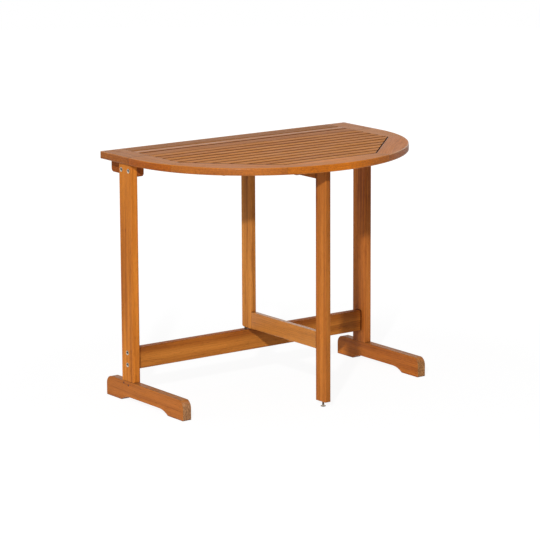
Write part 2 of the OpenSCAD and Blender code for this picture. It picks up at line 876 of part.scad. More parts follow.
// Sockets for the tongues of the rails, from distance d0 to d1.
module gate_mortises(d0, d1) {
    translate([gate_x - tongue_t / 2, yy(d1), gate_z + 6])
        cube([tongue_t, d1 - d0, gate_rail_h - 12]);
    translate([gate_x - tongue_t / 2, yy(d1), gate_top - gate_top_rail_h + 4])
        cube([tongue_t, d1 - d0, gate_top_rail_h - 8]);
}

module gate_outer_post() {
    color(wood_gate)
        difference() {
            bar_z(gate_x0, gate_x1, yy(gate_front), yy(gate_front - gate_post_w),
                gate_foot_gap, gate_top, gate_edge_r);
            gate_mortises(gate_front - gate_post_w - 1, gate_front - gate_post_w + tongue_l);
            difference() {
                translate([gate_x0 - 1, yy(gate_front) - 1, gate_foot_gap - 1])
                    cube([gate_t + 2, gate_toe_r + 1, gate_toe_r + 1]);
                cyl_x(gate_x0 - 2, gate_x1 + 2, yy(gate_front) + gate_toe_r,
                    gate_foot_gap + gate_toe_r, 2 * gate_toe_r);
            }
            translate([gate_x, glide_y, gate_foot_gap - 1])
                cylinder(d = insert_d, h = insert_l + 1);
            translate([gate_x, glide_y, gate_foot_gap])
                cylinder(d = glide_screw_d + 0.6, h = glide_screw_l + 6);
        }
}

module gate_rail(z0, h, inset) {
    union() {
        bar_y(gate_x0, gate_x1, yy(gate_front - gate_post_w), yy(gate_back + gate_post_w),
            z0, z0 + h, gate_edge_r);
        translate([gate_x - tongue_t / 2, yy(gate_front - gate_post_w + tongue_l), z0 + inset])
            cube([tongue_t, gate_l - 2 * gate_post_w + 2 * tongue_l, h - 2 * inset]);
    }
}
module gate_bottom_rail() {
    color(wood_gate)
        gate_rail(gate_z, gate_rail_h, 6);
}
module gate_top_rail() {
    color(wood_gate)
        gate_rail(gate_top - gate_top_rail_h, gate_top_rail_h, 4);
}

module pivot_pin_lower() {
    color(steel)
        translate([gate_x, pivot_y, stretcher_top - pin_depth])
            cylinder(d = pivot_d, h = pin_depth + gate_lift + pin_embed);
}
module pivot_pin_upper() {
    color(steel)
        translate([gate_x, pivot_y, gate_top - pin_embed])
            cylinder(d = pivot_d, h = pin_embed + gate_clear + cleat_t - 0.5);
}
module pivot_spacer() {
    color(steel)
        translate([gate_x, pivot_y, stretcher_top])
            difference() {
                cylinder(d = spacer_d, h = gate_lift - 0.2);
                translate([0, 0, -1])
                    cylinder(r = pivot_d / 2 + pivot_clear, h = gate_lift + 2);
            }
}

module gate_stop_block() {
    color(wood_gate)
        bar_y(gate_x0 - 20.4, gate_x0 - 0.4, yy(gate_front - stop_inset),
            yy(gate_front - stop_inset - stop_l),
            cleat_z - stop_h, cleat_z, 1.5);
}

// Glide at the foot of the outer gate post.
module glide_insert() {
    color(brass)
        translate([gate_x, glide_y, gate_foot_gap])
            difference() {
                cylinder(d = insert_d, h = insert_l);
                translate([0, 0, -1])
                    cylinder(r = glide_screw_d / 2 + hole_clear, h = insert_l + 2);
            }
}
spigot_d = 3.6;
spigot_h = 2;
module glide_screw() {
    color(steel)
        translate([gate_x, glide_y, 0]) {
            translate([0, 0, glide_pad_t + 0.1])
                cylinder(d = glide_screw_d, h = glide_screw_l);
            translate([0, 0, glide_pad_t - spigot_h])
                cylinder(d = spigot_d, h = spigot_h + 1);
        }
}
module glide_pad() {
    color(steel)
        translate([gate_x, glide_y, 0])
            difference() {
                rotate_extrude()
                    polygon([
                        [0, 0], [glide_pad_d / 2 - 0.4, 0], [glide_pad_d / 2, 0.4],
                        [glide_pad_d / 2, 1.2], [glide_pad_d / 2 - 0.5, 1.7],
                        [glide_screw_d / 2 + 2, 2.4], [glide_screw_d / 2 + 0.6, glide_pad_t - 0.5],
                        [glide_screw_d / 2 + 0.1, glide_pad_t], [0, glide_pad_t]
                    ]);
                translate([0, 0, glide_pad_t - spigot_h - 0.2])
                    cylinder(r = spigot_d / 2 + hole_clear, h = spigot_h + 1);
            }
}

// Hinges under the line between the fixed strip and the drop leaf.
knuckle_n = 5;
knuckle_l = hinge_l / knuckle_n;
knuckle_z = under_z - hinge_plate_t - knuckle_d / 2;
module hinge_plate(side) {
    for (s = [-1, 1])
        translate([s * hinge_x, hinge_y, 0])
            difference() {
                union() {
                    translate([-hinge_l / 2, side > 0 ? knuckle_d / 2 + 0.3
                        : -hinge_plate_w - knuckle_d / 2, under_z - hinge_plate_t])
                        cube([hinge_l, hinge_plate_w - 0.3, hinge_plate_t]);
                    for (i = [0 : knuckle_n - 1])
                        if ((i % 2 == 0) == (side > 0))
                            translate([-hinge_l / 2 + i * knuckle_l + 0.1, 0, 0]) {
                                cyl_x(0, knuckle_l - 0.2, 0, knuckle_z, knuckle_d);
                                translate([0, side > 0 ? 0 : -knuckle_d / 2 - 1,
                                    knuckle_z + knuckle_d / 2 - hinge_plate_t])
                                    cube([knuckle_l - 0.2, knuckle_d / 2 + 1, hinge_plate_t * 2]);
                            }
                }
                translate([-hinge_l, 0, 0])
                    cyl_x(0, 2 * hinge_l, 0, knuckle_z, hinge_pin_d + 2 * hole_clear);
                for (kx = [-1, 1])
                    translate([-s * hinge_x, -hinge_y, 0])
                        hinge_screw_at(s * hinge_x + kx * hinge_sx,
                            hinge_y + side * hinge_sy, hole_clear);
            }
}
module hinge_plates_fixed() {
    color(brass)
        hinge_plate(1);
}
module hinge_plates_leaf() {
    color(brass)
        hinge_plate(-1);
}
module hinge_pins() {
    color(steel)
        for (s = [-1, 1])
            cyl_x(s * hinge_x - hinge_l / 2, s * hinge_x + hinge_l / 2, hinge_y, knuckle_z,
                hinge_pin_d);
}
module hinge_screws() {
    color(steel)
        for (sx = [-1, 1], kx = [-1, 1], side = [-1, 1])
            hinge_screw_at(sx * hinge_x + kx * hinge_sx, hinge_y + side * hinge_sy, 0);
}

module cleat_screws() {
    color(steel)
        for (p = screw_places)
            wood_screw(p[0], yy(p[1]), cleat_z);
}

// Bolt from the outer face of a post inwards, with a dished head and a hexagon socket.
socket_d = 7;
module bolt(side, y, z, length) {
    difference() {
        union() {
            cyl_x(side > 0 ? post_out - 3.5 : -post_out - 0.5,
                side > 0 ? post_out + 0.5 : -post_out + 3.5, y, z, bolt_head_d);
            cyl_x(side > 0 ? post_out - length : -post_out + 3,
                side > 0 ? post_out - 3 : -post_out + length, y, z, bolt_d);
        }
        translate([side * (post_out + 0.5), y, z])
            rotate([0, -side * 90, 0]) {
                cylinder(d1 = bolt_head_d - 2.2, d2 = socket_d, h = 1.2);
                cylinder(d = socket_d, h = 3.2, $fn = 6);
            }
    }
}
module bearer_bolts() {
    color(steel)
        for (s = [-1, 1], k = [-1, 1])
            bolt(s, yy(post_mid) + k * bearer_bolt_gap / 2, bearer_mid_z,
                post_t + bearer_t - 6);
}
module stretcher_bolts() {
    color(steel)
        for (s = [-1, 1], k = [-1, 1])
            bolt(s, yy(stretcher_mid), stretcher_mid_z + k * stretcher_bolt_gap / 2,
                post_t + barrel_in + 8);
}
module barrel_nuts() {
    color(steel)
        for (s = [-1, 1], k = [-1, 1]) {
            x = s * (post_in - barrel_in);
            z = stretcher_mid_z + k * stretcher_bolt_gap / 2;
            difference() {
                cyl_y(yy(stretcher_mid) - barrel_d * 0.7, yy(stretcher_mid) + barrel_d * 0.7,
                    x, z, barrel_d);
                cyl_x(x - barrel_d, x + barrel_d, yy(stretcher_mid), z,
                    bolt_d + 2 * hole_clear);
            }
        }
}

back_rail();
fixed_slat_rear();
fixed_slat_front();
fixed_side_board_left();
fixed_side_board_right();
leaf_side_board_left();
leaf_side_board_right();
leaf_diagonal_board_left();
leaf_diagonal_board_right();
leaf_front_board();
leaf_slat_01();
leaf_slat_02();
leaf_slat_03();
leaf_slat_04();
leaf_slat_05();
leaf_slat_06();
leaf_slat_07();
leaf_slat_08();
leaf_slat_09();
leaf_slat_10();
fixed_cleat_left();
fixed_cleat_centre();
fixed_cleat_right();
leaf_cleat_left();
leaf_cleat_inner_left();
leaf_cleat_centre();
leaf_cleat_inner_right();
leaf_cleat_right();
bearer_left();
bearer_right();
post_left();
post_right();
foot_left();
foot_right();
stretcher();
gate_inner_post();
gate_outer_post();
gate_top_rail();
gate_bottom_rail();
pivot_pin_lower();
pivot_pin_upper();
pivot_spacer();
gate_stop_block();
glide_insert();
glide_screw();
glide_pad();
hinge_plates_fixed();
hinge_plates_leaf();
hinge_pins();
hinge_screws();
cleat_screws();
bearer_screws();
bearer_bolts();
stretcher_bolts();
barrel_nuts();
tenon_pegs();
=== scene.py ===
import math

import bpy
import numpy as np
from mathutils import Matrix, Vector


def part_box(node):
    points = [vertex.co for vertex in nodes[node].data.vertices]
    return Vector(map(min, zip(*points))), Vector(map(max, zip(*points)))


# Folding balcony table with a half-round slatted top, in oiled hardwood.
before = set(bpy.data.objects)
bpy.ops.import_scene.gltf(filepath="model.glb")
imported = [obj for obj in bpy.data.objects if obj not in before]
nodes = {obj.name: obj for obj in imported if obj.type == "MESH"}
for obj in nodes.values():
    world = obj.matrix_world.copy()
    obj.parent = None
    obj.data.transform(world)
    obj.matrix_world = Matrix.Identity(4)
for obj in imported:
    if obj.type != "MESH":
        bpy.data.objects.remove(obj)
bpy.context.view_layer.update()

scene = bpy.context.scene
scene.view_settings.view_transform = "Standard"

ACROSS, DEEP, UP = (1, 0, 0), (0, 1, 0), (0, 0, 1)
HALF = math.sqrt(0.5)


def linear(value):
    """A display value, 0 to 255, as linear light."""
    share = value / 255
    return share / 12.92 if share <= 0.04045 else ((share + 0.055) / 1.055) ** 2.4


def tone(red, green, blue):
    """A colour given in display values, as the linear colour that a shader takes."""
    return linear(red), linear(green), linear(blue), 1.0


# Shader building
def put(tree, kind, inputs=None, **settings):
    """A node of this kind; inputs are values, or the outputs that feed them."""
    made = tree.nodes.new(kind)
    for key, value in settings.items():
        setattr(made, key, value)
    for key, value in (inputs or {}).items():
        if isinstance(value, bpy.types.NodeSocket):
            tree.links.new(value, made.inputs[key])
        else:
            made.inputs[key].default_value = value
    return made


def calc(tree, operation, first, second=0.0, third=0.0, clamp=False):
    """One sum on numbers."""
    return put(tree, "ShaderNodeMath", {0: first, 1: second, 2: third},
               operation=operation, use_clamp=clamp).outputs[0]


def vector_calc(tree, operation, first, second):
    """One sum on vectors; a length or a dot product is a number."""
    made = put(tree, "ShaderNodeVectorMath", {0: first, 1: second}, operation=operation)
    return made.outputs["Value" if operation in ("LENGTH", "DOT_PRODUCT") else "Vector"]


def spread(tree, value, low, high, to_low=0.0, to_high=1.0):
    """Maps low to high onto to_low to to_high, held at both ends."""
    return put(tree, "ShaderNodeMapRange", {
        "Value": value, "From Min": low, "From Max": high, "To Min": to_low, "To Max": to_high,
    }, clamp=True).outputs[0]


def cloud(tree, place, stretch, detail=2.0, rough=0.5, colour=False):
    """Soft noise whose lumps per metre along the three axes are the numbers in stretch."""
    made = put(tree, "ShaderNodeTexNoise", {
        "Vector": vector_calc(tree, "MULTIPLY", place, stretch), "Scale": 1.0,
        "Detail": detail, "Roughness": rough,
    })
    return made.outputs["Color" if colour else "Fac"]


def ramp(tree, value, stops, ease="LINEAR"):
    """The colour at this value between the stops, each a position and a colour."""
    made = put(tree, "ShaderNodeValToRGB", {"Fac": value})
    made.color_ramp.interpolation = ease
    while len(made.color_ramp.elements) < len(stops):
        made.color_ramp.elements.new(0.5)
    for element, (at, colour) in zip(made.color_ramp.elements, stops):
        element.position = at
        element.color = colour
    return made.outputs["Color"]


def blend(tree, amount, below, above, kind="MIX"):
    """The colour below where the amount is 0, and the colour above where it is 1."""
    return put(tree, "ShaderNodeMix", {0: amount, 6: below, 7: above},
               data_type="RGBA", blend_type=kind).outputs[2]


def grey(tree, level):
    """The colour that has this level in all three channels."""
    return put(tree, "ShaderNodeCombineColor", {0: level, 1: level, 2: level}).outputs[0]


def times(tree, colour, factor):
    """The colour times the factor, channel by channel."""
    if not isinstance(factor, bpy.types.NodeSocket):
        factor = (*factor, 1.0)
    return blend(tree, 1.0, colour, factor, "MULTIPLY")


def stain(tree, amount, colour, factor):
    """The colour, multiplied by the factor as far as the amount says."""
    return blend(tree, amount, colour, times(tree, colour, factor))


def new_material(name):
    """An empty material with its one surface shader."""
    made = bpy.data.materials.new(name)
    made.use_nodes = True
    tree = made.node_tree
    tree.nodes.clear()
    surface = tree.nodes.new("ShaderNodeBsdfPrincipled")
    out = tree.nodes.new("ShaderNodeOutputMaterial")
    tree.links.new(surface.outputs[0], out.inputs[0])
    return made, tree, surface


# Wood
RINGS_PER_METRE = 190.0
RING_WOBBLE = 1.4             # how far small noise moves the rings, in rings
HEART_SWAY = 0.012            # how far slow noise moves the heart line, in metres
LOG_STEP = 0.731              # metres along the log between boards whose seeds differ by 1
NOOK_REACH = 0.008            # how near another face the painted shade reaches
JOINT_LINE = 0.003            # width of the soft edge of the darkening at a joint
STRIP_START, STRIP_FULL = 0.0034, 0.0010  # distances of a slat's painted shade strip from its edge
CORNER_TURN = (0.985, 0.86)   # cosines of the turn where a corner starts, and counts in full
EVEN = (1.0, 1.0)             # the same lightness at both ends

# Lumps of noise per metre along the board, across it and through it.
SWAY, WOBBLE, NARROW_BANDS, WIDE_BANDS = (3.2, 12, 12), (1.5, 40, 40), (1.6, 85, 85), (2.2, 22, 22)
FIBRES, FLECKS, PORES = (14, 620, 620), (42, 330, 330), (60, 1500, 1500)
END_CELLS, RUBBING, MOTTLE, OILING = (260, 260, 260), (26, 26, 26), (190, 190, 260), (9, 30, 30)

# Tints of the parts of a board, as factors of the bare wood's red, green and blue.
END_DARK, END_PALE = (0.48, 0.70, 2.00), (1.08, 1.78, 5.80)
# paler, bluer upper side: fading and painted sheen
FADED = (0.80, 1.02, 1.90)
HEARTWOOD = (0.74, 0.60, 0.40)
# painted shade at a slat's edges and in its gaps
OILED_EDGE = (0.62, 0.46, 0.34)
OILED_GAP = (0.16, 0.11, 0.10)
# painted shade in nooks
NOOK_DIRT = (0.30, 0.22, 0.16)
# darkening at a joint
JOINT_DIRT = (0.16, 0.11, 0.08)


def log_place(tree, point, centre, along, seed):
    """Where a point lies in the log: x along the board, y across it and z through it."""
    flat = Vector(UP) if abs(along.z) < 0.9 else Vector(DEEP)
    across = flat.cross(along).normalized()
    thick = along.cross(across).normalized()
    turn = Matrix((along, across, thick))
    moved = -(turn @ Vector(centre)) + Vector((seed * LOG_STEP, 0, 0))
    return put(tree, "ShaderNodeMapping", {
        "Vector": point, "Location": moved, "Rotation": turn.to_euler("XYZ"),
    }, vector_type="POINT").outputs[0]


def figure(tree, place, heart):
    """The late wood of the rings, narrow and wide bands, fibres, flecks and pores.

    Growth rings are circles round a heart line that runs along the board outside it, warped
    by slow noise. The rest is noise drawn out along the board. The same rings and pores give
    the ends their end grain."""
    sway = vector_calc(tree, "SUBTRACT", cloud(tree, place, SWAY, 2.0, 0.5, True),
                       (0.5, 0.5, 0.5))
    bent = vector_calc(tree, "ADD", place, vector_calc(
        tree, "MULTIPLY", sway, (0.0, HEART_SWAY, HEART_SWAY)))
    from_heart = vector_calc(tree, "ADD", vector_calc(tree, "MULTIPLY", bent, (0, 1, 1)),
                             (0, *heart))
    ring_no = calc(tree, "MULTIPLY", vector_calc(tree, "LENGTH", from_heart, (0, 0, 0)),
                   RINGS_PER_METRE)
    ring_no = calc(tree, "ADD", ring_no, calc(
        tree, "MULTIPLY", cloud(tree, place, WOBBLE, 1.0, 0.5), RING_WOBBLE))
    late = ramp(tree, calc(tree, "FRACT", ring_no), [
        (0.0, (0.62, 0.62, 0.62, 1)), (0.45, (0.30, 0.30, 0.30, 1)),
        (0.86, (0.0, 0.0, 0.0, 1)), (1.0, (0.62, 0.62, 0.62, 1))], "EASE")
    bands = spread(tree, cloud(tree, bent, NARROW_BANDS, 3.0, 0.55), 0.30, 0.70, -0.5, 0.5)
    wide = spread(tree, cloud(tree, bent, WIDE_BANDS, 2.0, 0.5), 0.32, 0.68, -0.5, 0.5)
    fibres = spread(tree, cloud(tree, bent, FIBRES, 3.0, 0.6), 0.28, 0.72)
    flecks = spread(tree, cloud(tree, bent, FLECKS, 2.0, 0.5), 0.60, 0.72)
    pores = spread(tree, cloud(tree, bent, PORES, 1.0, 0.5), 0.60, 0.70)
    return late, bands, wide, fibres, flecks, pores


def scaled(mean, red, green, blue):
    """The mean colour with each channel scaled, and held at full strength."""
    return tuple(min(1.0, c * k) for c, k in zip(mean, (red, green, blue))) + (1.0,)


def bare_wood(tree, parts, mean, streak):
    """The colour of the wood before wear and dirt, from the parts of its figure."""
    late, bands, wide, fibres, flecks, pores = parts
    shade = calc(tree, "MULTIPLY_ADD", bands, 0.55 * streak, 0.36)
    shade = calc(tree, "MULTIPLY_ADD", wide, 0.40 * streak, shade)
    shade = calc(tree, "MULTIPLY_ADD", late, 0.20, shade)
    shade = calc(tree, "MULTIPLY_ADD", fibres, 0.20, shade)
    shade = calc(tree, "MULTIPLY_ADD", flecks, -0.10 - 0.10 * streak, shade, True)
    body = ramp(tree, shade, [
        (0.08, scaled(mean, 0.42, 0.34, 0.34)), (0.32, scaled(mean, 0.76, 0.70, 0.66)),
        (0.52, scaled(mean, 1, 1, 1)), (0.70, scaled(mean, 1.16, 1.20, 1.28)),
        (0.92, scaled(mean, 1.38, 1.50, 1.75))])
    return blend(tree, calc(tree, "MULTIPLY", pores, 0.40), body,
                 scaled(mean, 0.30, 0.24, 0.24))


def oiled_wood(name, centre, along, length, colour, seed, heart, streak=0.35, rough=0.56,
               sheen=0.20, gap_side=None, dark_edge=None, crown=None, edge=0.0016,
               edge_polish=0.16, top_polish=0.0, top_fade=0.0, rim=None, rub=(0.12, 0.55),
               worn=(1.35, 1.5, 1.9), end_grain=1.0, joint_dirt=None, front_face=1.0,
               bow=EVEN, drift=EVEN):
    """Solid oiled hardwood, cut from one board of this mean display colour.

    centre, along and length place the board in the table; seed and heart say where in the
    log it was cut. The rest is how it was kept and used, and the light and shade painted on it:

    streak        strength of the bands along the grain
    rough, sheen  roughness and gloss of the oiled surface
    gap_side      half the width of a slat, whose sides and edges get painted shade
    dark_edge     how far above the middle of the board its darker heartwood starts
    crown         half the width of a strip along the middle that is worn smooth and shines
    edge          radius of the corners that are worn and carry a painted highlight
    edge_polish   how much smoother they are
    rub, worn  least and greatest paling of the corners, and its tint: wear and painted highlight
    rim           tint of the upright sides, painted shade that keeps them darker than the top
    top_polish    how much smoother the upper side is
    top_fade  how far the upper side is faded and painted with sheen
    end_grain     how much the ends differ from the rest
    joint_dirt  distance from the middle at which the board starts to darken towards a joint
    front_face  lightness of the face towards the curved side, painted shade
    bow           lightness at the middle and at the ends of the length
    drift         lightness at one end and at the other"""
    made, tree, surface = new_material(name)
    along = Vector(along).normalized()
    where = put(tree, "ShaderNodeTexCoord")
    place = log_place(tree, where.outputs["Object"], centre, along, seed)
    parts = figure(tree, place, heart)
    late, bands, _, fibres, _, pores = parts
    mean = tone(*colour)[:3]
    body = bare_wood(tree, parts, mean, streak)

    # the ends, with their cells cut across
    facing = vector_calc(tree, "DOT_PRODUCT", where.outputs["Normal"], tuple(along))
    at_end = spread(tree, calc(tree, "ABSOLUTE", facing), 0.55, 0.92)
    cells = spread(tree, cloud(tree, place, END_CELLS, 3.0, 0.6), 0.35, 0.65)
    end_colour = blend(tree, cells, times(tree, body, END_DARK), times(tree, body, END_PALE))
    body = blend(tree, calc(tree, "MULTIPLY", at_end, end_grain), body, end_colour)

    # corners, paled in patches by wear and a painted highlight; the rounded upper edge of a rim
    # board is one too
    corner = put(tree, "ShaderNodeBevel", {"Radius": edge}, samples=4).outputs[0]
    plain = put(tree, "ShaderNodeNewGeometry").outputs["Normal"]
    at_corner = spread(tree, vector_calc(tree, "DOT_PRODUCT", corner, plain), *CORNER_TURN)
    facet = put(tree, "ShaderNodeSeparateXYZ", {0: where.outputs["Normal"]})
    upward = facet.outputs["Z"]
    if rim:
        at_corner = calc(tree, "MAXIMUM", at_corner, calc(
            tree, "MULTIPLY", spread(tree, upward, 0.15, 0.45),
            spread(tree, upward, *CORNER_TURN)))
    rubbed = calc(tree, "MULTIPLY", at_corner, spread(
        tree, cloud(tree, place, RUBBING, 2.0, 0.6), 0.38, 0.70, *rub))
    body = blend(tree, rubbed, body, scaled(mean, *worn))

    # lightness along the board, painted light and shade on the posts; painted shade on the front
    # face
    aside = put(tree, "ShaderNodeSeparateXYZ", {0: place})
    from_middle = calc(tree, "SUBTRACT", aside.outputs["X"], seed * LOG_STEP)
    if drift != EVEN or bow != EVEN or front_face != 1.0:
        light = spread(tree, from_middle, -length / 2, length / 2, *drift)
        light = calc(tree, "MULTIPLY", light, spread(
            tree, calc(tree, "ABSOLUTE", from_middle), 0.0, length / 2, *bow))
        light = calc(tree, "MULTIPLY", light, spread(
            tree, facet.outputs["Y"], -0.4, -0.8, 1.0, front_face))
        body = times(tree, body, grey(tree, light))

    # painted shade and mottle on the rim's upright sides; fading and painted sheen on the upper
    # side
    on_top = spread(tree, upward, 0.55, 0.95)
    if rim:
        upright = spread(tree, calc(tree, "ABSOLUTE", upward), 0.85, 0.45)
        body = stain(tree, upright, body, rim)
        mottle = spread(tree, cloud(tree, place, MOTTLE, 3.0, 0.65), 0.32, 0.68, 0.80, 1.20)
        body = stain(tree, upright, body, grey(tree, mottle))
    # the upper side paler and bluer: fading and painted sheen
    if top_fade:
        body = stain(tree, calc(tree, "MULTIPLY", on_top, top_fade), body, FADED)

    # heartwood, and painted shade at a slat's edges and in its gaps
    if dark_edge is not None:
        upper = spread(tree, calc(tree, "ADD", aside.outputs["Z"], calc(
            tree, "MULTIPLY", bands, 0.010)), dark_edge - 0.005, dark_edge + 0.009)
        body = stain(tree, calc(tree, "MULTIPLY", upper, 0.8), body, HEARTWOOD)
    if gap_side:
        strip = spread(tree, calc(tree, "ABSOLUTE", aside.outputs["Y"]),
                       gap_side - STRIP_START, gap_side - STRIP_FULL)
        body = stain(tree, calc(tree, "MULTIPLY", strip, 0.75), body, OILED_EDGE)
        sides = spread(tree, calc(tree, "ABSOLUTE", upward), 0.92, 0.55)
        body = stain(tree, sides, body, OILED_GAP)

    # painted shade in nooks, and darkening towards the joints
    nook = put(tree, "ShaderNodeAmbientOcclusion", {"Distance": NOOK_REACH},
               samples=6).outputs["AO"]
    body = stain(tree, spread(tree, nook, 0.76, 0.48, 0.0, 0.9), body, NOOK_DIRT)
    # darker towards the joints at the board's ends
    if joint_dirt:
        in_joint = spread(tree, calc(tree, "ABSOLUTE", from_middle), joint_dirt,
                          joint_dirt + JOINT_LINE, 0.0, 0.92)
        body = stain(tree, in_joint, body, JOINT_DIRT)
    tree.links.new(body, surface.inputs["Base Color"])

    # roughness: smoother at worn places and seen at a low angle
    dull = calc(tree, "MULTIPLY_ADD", pores, 0.14,
                calc(tree, "MULTIPLY_ADD", fibres, -0.08, rough))
    dull = calc(tree, "MULTIPLY_ADD", at_end, 0.16, dull)
    dull = calc(tree, "MULTIPLY_ADD", spread(
        tree, cloud(tree, place, OILING), 0.3, 0.7), 0.08, dull, clamp=True)
    dull = calc(tree, "MULTIPLY_ADD", at_corner, -edge_polish, dull)
    low_angle = put(tree, "ShaderNodeLayerWeight", {"Blend": 0.5}).outputs["Facing"]
    dull = calc(tree, "MULTIPLY_ADD", spread(tree, low_angle, 0.84, 0.99), -0.26, dull,
                clamp=True)
    if top_polish:
        dull = calc(tree, "MULTIPLY_ADD", on_top, -top_polish, dull, clamp=True)
    if crown:
        polish = spread(tree, calc(tree, "ABSOLUTE", aside.outputs["Y"]),
                        crown * 0.7, crown * 1.3, -0.16, 0.14)
        dull = calc(tree, "ADD", dull, polish, clamp=True)
    tree.links.new(dull, surface.inputs["Roughness"])
    surface.inputs["Specular IOR Level"].default_value = sheen

    # relief of fibres, pores and rings
    height = calc(tree, "SUBTRACT", calc(tree, "MULTIPLY", fibres, 0.35), pores)
    height = calc(tree, "MULTIPLY_ADD", late, -0.25, height)
    bump = put(tree, "ShaderNodeBump", {
        "Strength": 0.55, "Distance": 0.00022, "Height": height, "Normal": corner})
    tree.links.new(bump.outputs[0], surface.inputs["Normal"])
    return made


def dress(node, material):
    """Gives a piece of the frame one material."""
    slots = nodes[node].data.materials
    slots.clear()
    slots.append(material)


pick = np.random.default_rng(41)  # draws where in the log each board was cut


def board(node, along, colour, **more):
    """Dresses one board, with its own place in the log."""
    seed = float(pick.uniform(3, 40))
    heart = (float(pick.uniform(-0.09, 0.09)), float(pick.uniform(0.07, 0.19)))
    low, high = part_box(node)
    length = float(sum(abs(a) * s for a, s in zip(along, high - low)))
    dress(node, oiled_wood(node + "_wood", (low + high) / 2, along, length, colour, seed,
                           heart, **more))


def slat(node, colour, **more):
    """Dresses one slat of the top, with painted shade on the sides of its gaps."""
    low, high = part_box(node)
    board(node, ACROSS, colour, gap_side=float(high[1] - low[1]) / 2, **more)


# the fixed strip and the slats of the leaf
board("back_rail", ACROSS, (168, 104, 45))
slat("fixed_slat_rear", (190, 120, 58), rough=0.47, sheen=0.28, crown=0.0048)
slat("fixed_slat_front", (186, 114, 48))
SLAT_COLOURS = [(205, 128, 44), (200, 122, 40), (207, 129, 43), (209, 130, 45), (203, 125, 40),
                (210, 132, 46), (206, 128, 42), (212, 133, 46), (204, 126, 42), (209, 131, 44)]
for number, colour in enumerate(SLAT_COLOURS, 1):
    slat("leaf_slat_%02d" % number, colour)

# the boards round the top, whose rim is handled most; the pale corners of the right-hand boards are
# a painted highlight
RUBBED, RUBBED_BARE = (0.3, 0.8), (0.6, 1.0)  # least and greatest paling of the corners: wear with a painted highlight, the second mostly painted highlight
RIM = {"rough": 0.50, "sheen": 0.28, "edge": 0.003, "edge_polish": 0.32}
board("fixed_side_board_left", DEEP, (184, 112, 44), rim=(0.70, 0.57, 0.32), rub=RUBBED, **RIM)
board("leaf_side_board_left", DEEP, (188, 114, 42), rim=(0.76, 0.53, 0.06), rub=RUBBED, **RIM)
board("leaf_diagonal_board_left", (HALF, -HALF, 0), (198, 118, 40), rim=(0.74, 0.66, 0.50),
      drift=(0.94, 1.05), **RIM)
board("leaf_front_board", ACROSS, (212, 125, 30), rim=(0.93, 0.81, 0.44), bow=(1.12, 0.78),
      drift=(1.0, 0.94), **RIM)
# whitish corners along the rim's upper edge: painted highlight
board("leaf_diagonal_board_right", (HALF, HALF, 0), (204, 121, 47), rim=(0.70, 0.61, 0.44),
      rub=RUBBED_BARE, worn=(1.3, 2.1, 6.0), **RIM)
board("leaf_side_board_right", DEEP, (206, 130, 60), rim=(0.72, 0.64, 0.60),
      rub=RUBBED_BARE, worn=(1.3, 1.9, 4.5), **RIM)
board("fixed_side_board_right", DEEP, (188, 116, 54), **RIM)

# posts, feet and stretcher
# drift on the posts is painted light and shade along their height, and the front-face factor is
# painted shade
board("post_left", UP, (203, 119, 37), streak=1.0, rub=RUBBED, drift=(1.08, 0.96))
board("post_right", UP, (194, 111, 42), streak=1.3, front_face=0.88, drift=(0.98, 1.10))
FOOT = {"rough": 0.54, "sheen": 0.24, "streak": 0.6, "top_polish": 0.10, "top_fade": 0.9}
board("foot_left", DEEP, (188, 108, 38), **FOOT)
board("foot_right", DEEP, (196, 112, 36), **FOOT)
POST_DIRT = 0.0055            # how far the darkening at a post reaches along the stretcher
post_face = float(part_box("post_right")[0][0])
board("stretcher", ACROSS, (192, 117, 42), streak=0.8, dark_edge=0.010, drift=(0.98, 1.0),
      joint_dirt=post_face - POST_DIRT)

# the gate
# drift on the gate posts is painted shade under the top, and the front-face factor is painted shade
board("gate_inner_post", UP, (202, 129, 54), streak=1.1, drift=(1.16, 0.86))
board("gate_outer_post", UP, (190, 110, 38), streak=0.9, front_face=0.82, drift=(1.02, 0.90))
board("gate_top_rail", DEEP, (178, 102, 38), sheen=0.10)
board("gate_bottom_rail", DEEP, (206, 130, 50), rough=0.44, sheen=0.5, top_polish=0.18,
      top_fade=0.6)

# what lies under the top, and the pegs
UNDER = (150, 90, 46)
board("bearer_left", DEEP, (160, 86, 34), sheen=0.08, end_grain=0.1)
board("bearer_right", DEEP, (130, 70, 30), sheen=0.08, end_grain=0.1)
for side in ("left", "right"):
    board("fixed_cleat_" + side, DEEP, UNDER)
    board("leaf_cleat_" + side, DEEP, UNDER)
    board("leaf_cleat_inner_" + side, DEEP, UNDER)
board("fixed_cleat_centre", DEEP, UNDER)
board("leaf_cleat_centre", DEEP, UNDER)
board("gate_stop_block", DEEP, UNDER)
board("tenon_pegs", ACROSS, (86, 48, 24))


# Metal
MARKS = (900, 900, 180)       # drawing marks per metre along the three axes
# painted shade in the hollows and on slopes facing down and towards the curved side
HOLLOW_DIRT = tone(40, 30, 20)
DIRTY_WAY = (0, -0.75, -0.65)  # down and towards the curved side, where shade is painted


